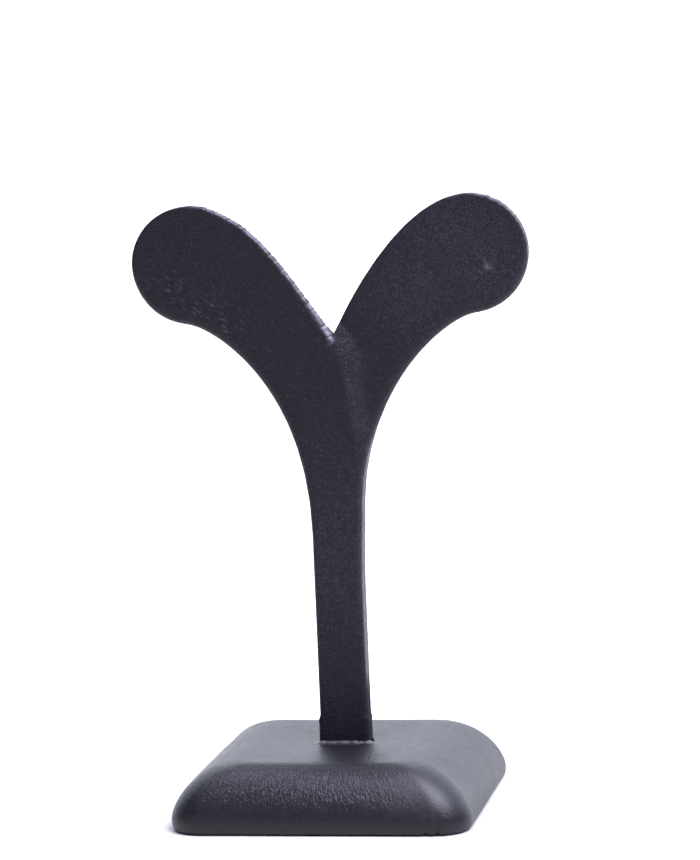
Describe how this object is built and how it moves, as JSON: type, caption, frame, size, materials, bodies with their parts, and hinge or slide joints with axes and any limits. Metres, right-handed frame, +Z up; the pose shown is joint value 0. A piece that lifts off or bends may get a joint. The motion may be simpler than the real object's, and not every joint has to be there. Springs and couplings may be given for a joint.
{
  "type": "earring display stand",
  "caption": "Y-shaped leather-covered tabletop stand that shows earrings on round lobes, on a stem set in a padded square base.",
  "frame": {"origin": "the middle of the underside of the base, on the table", "axes": "+X to the right as seen from the front, +Y to the back, +Z up along the stem; the front is the side on which the left lobe lies in front of the right one"},
  "size_m": [0.0746, 0.056, 0.1143],
  "materials": {
    "front_board_mdf": "raw fibreboard",
    "rear_board_mdf": "raw fibreboard",
    "front_leather": "fine-grained, satin, blue-black",
    "rear_leather": "fine-grained, satin, blue-black",
    "base_mdf": "raw fibreboard",
    "grey_foam": "open-cell foam",
    "base_leather": "fine-grained, satin, blue-black",
    "black_felt": "pressed felt"
  },
  "bodies": {
    "root": {"front_board": "front_board_mdf", "rear_board": "rear_board_mdf", "front_cover": "front_leather", "rear_cover": "rear_leather", "base_board": "base_mdf", "base_foam": "grey_foam", "base_cover": "base_leather", "bottom_felt": "black_felt"}
  },
  "joints": []
}
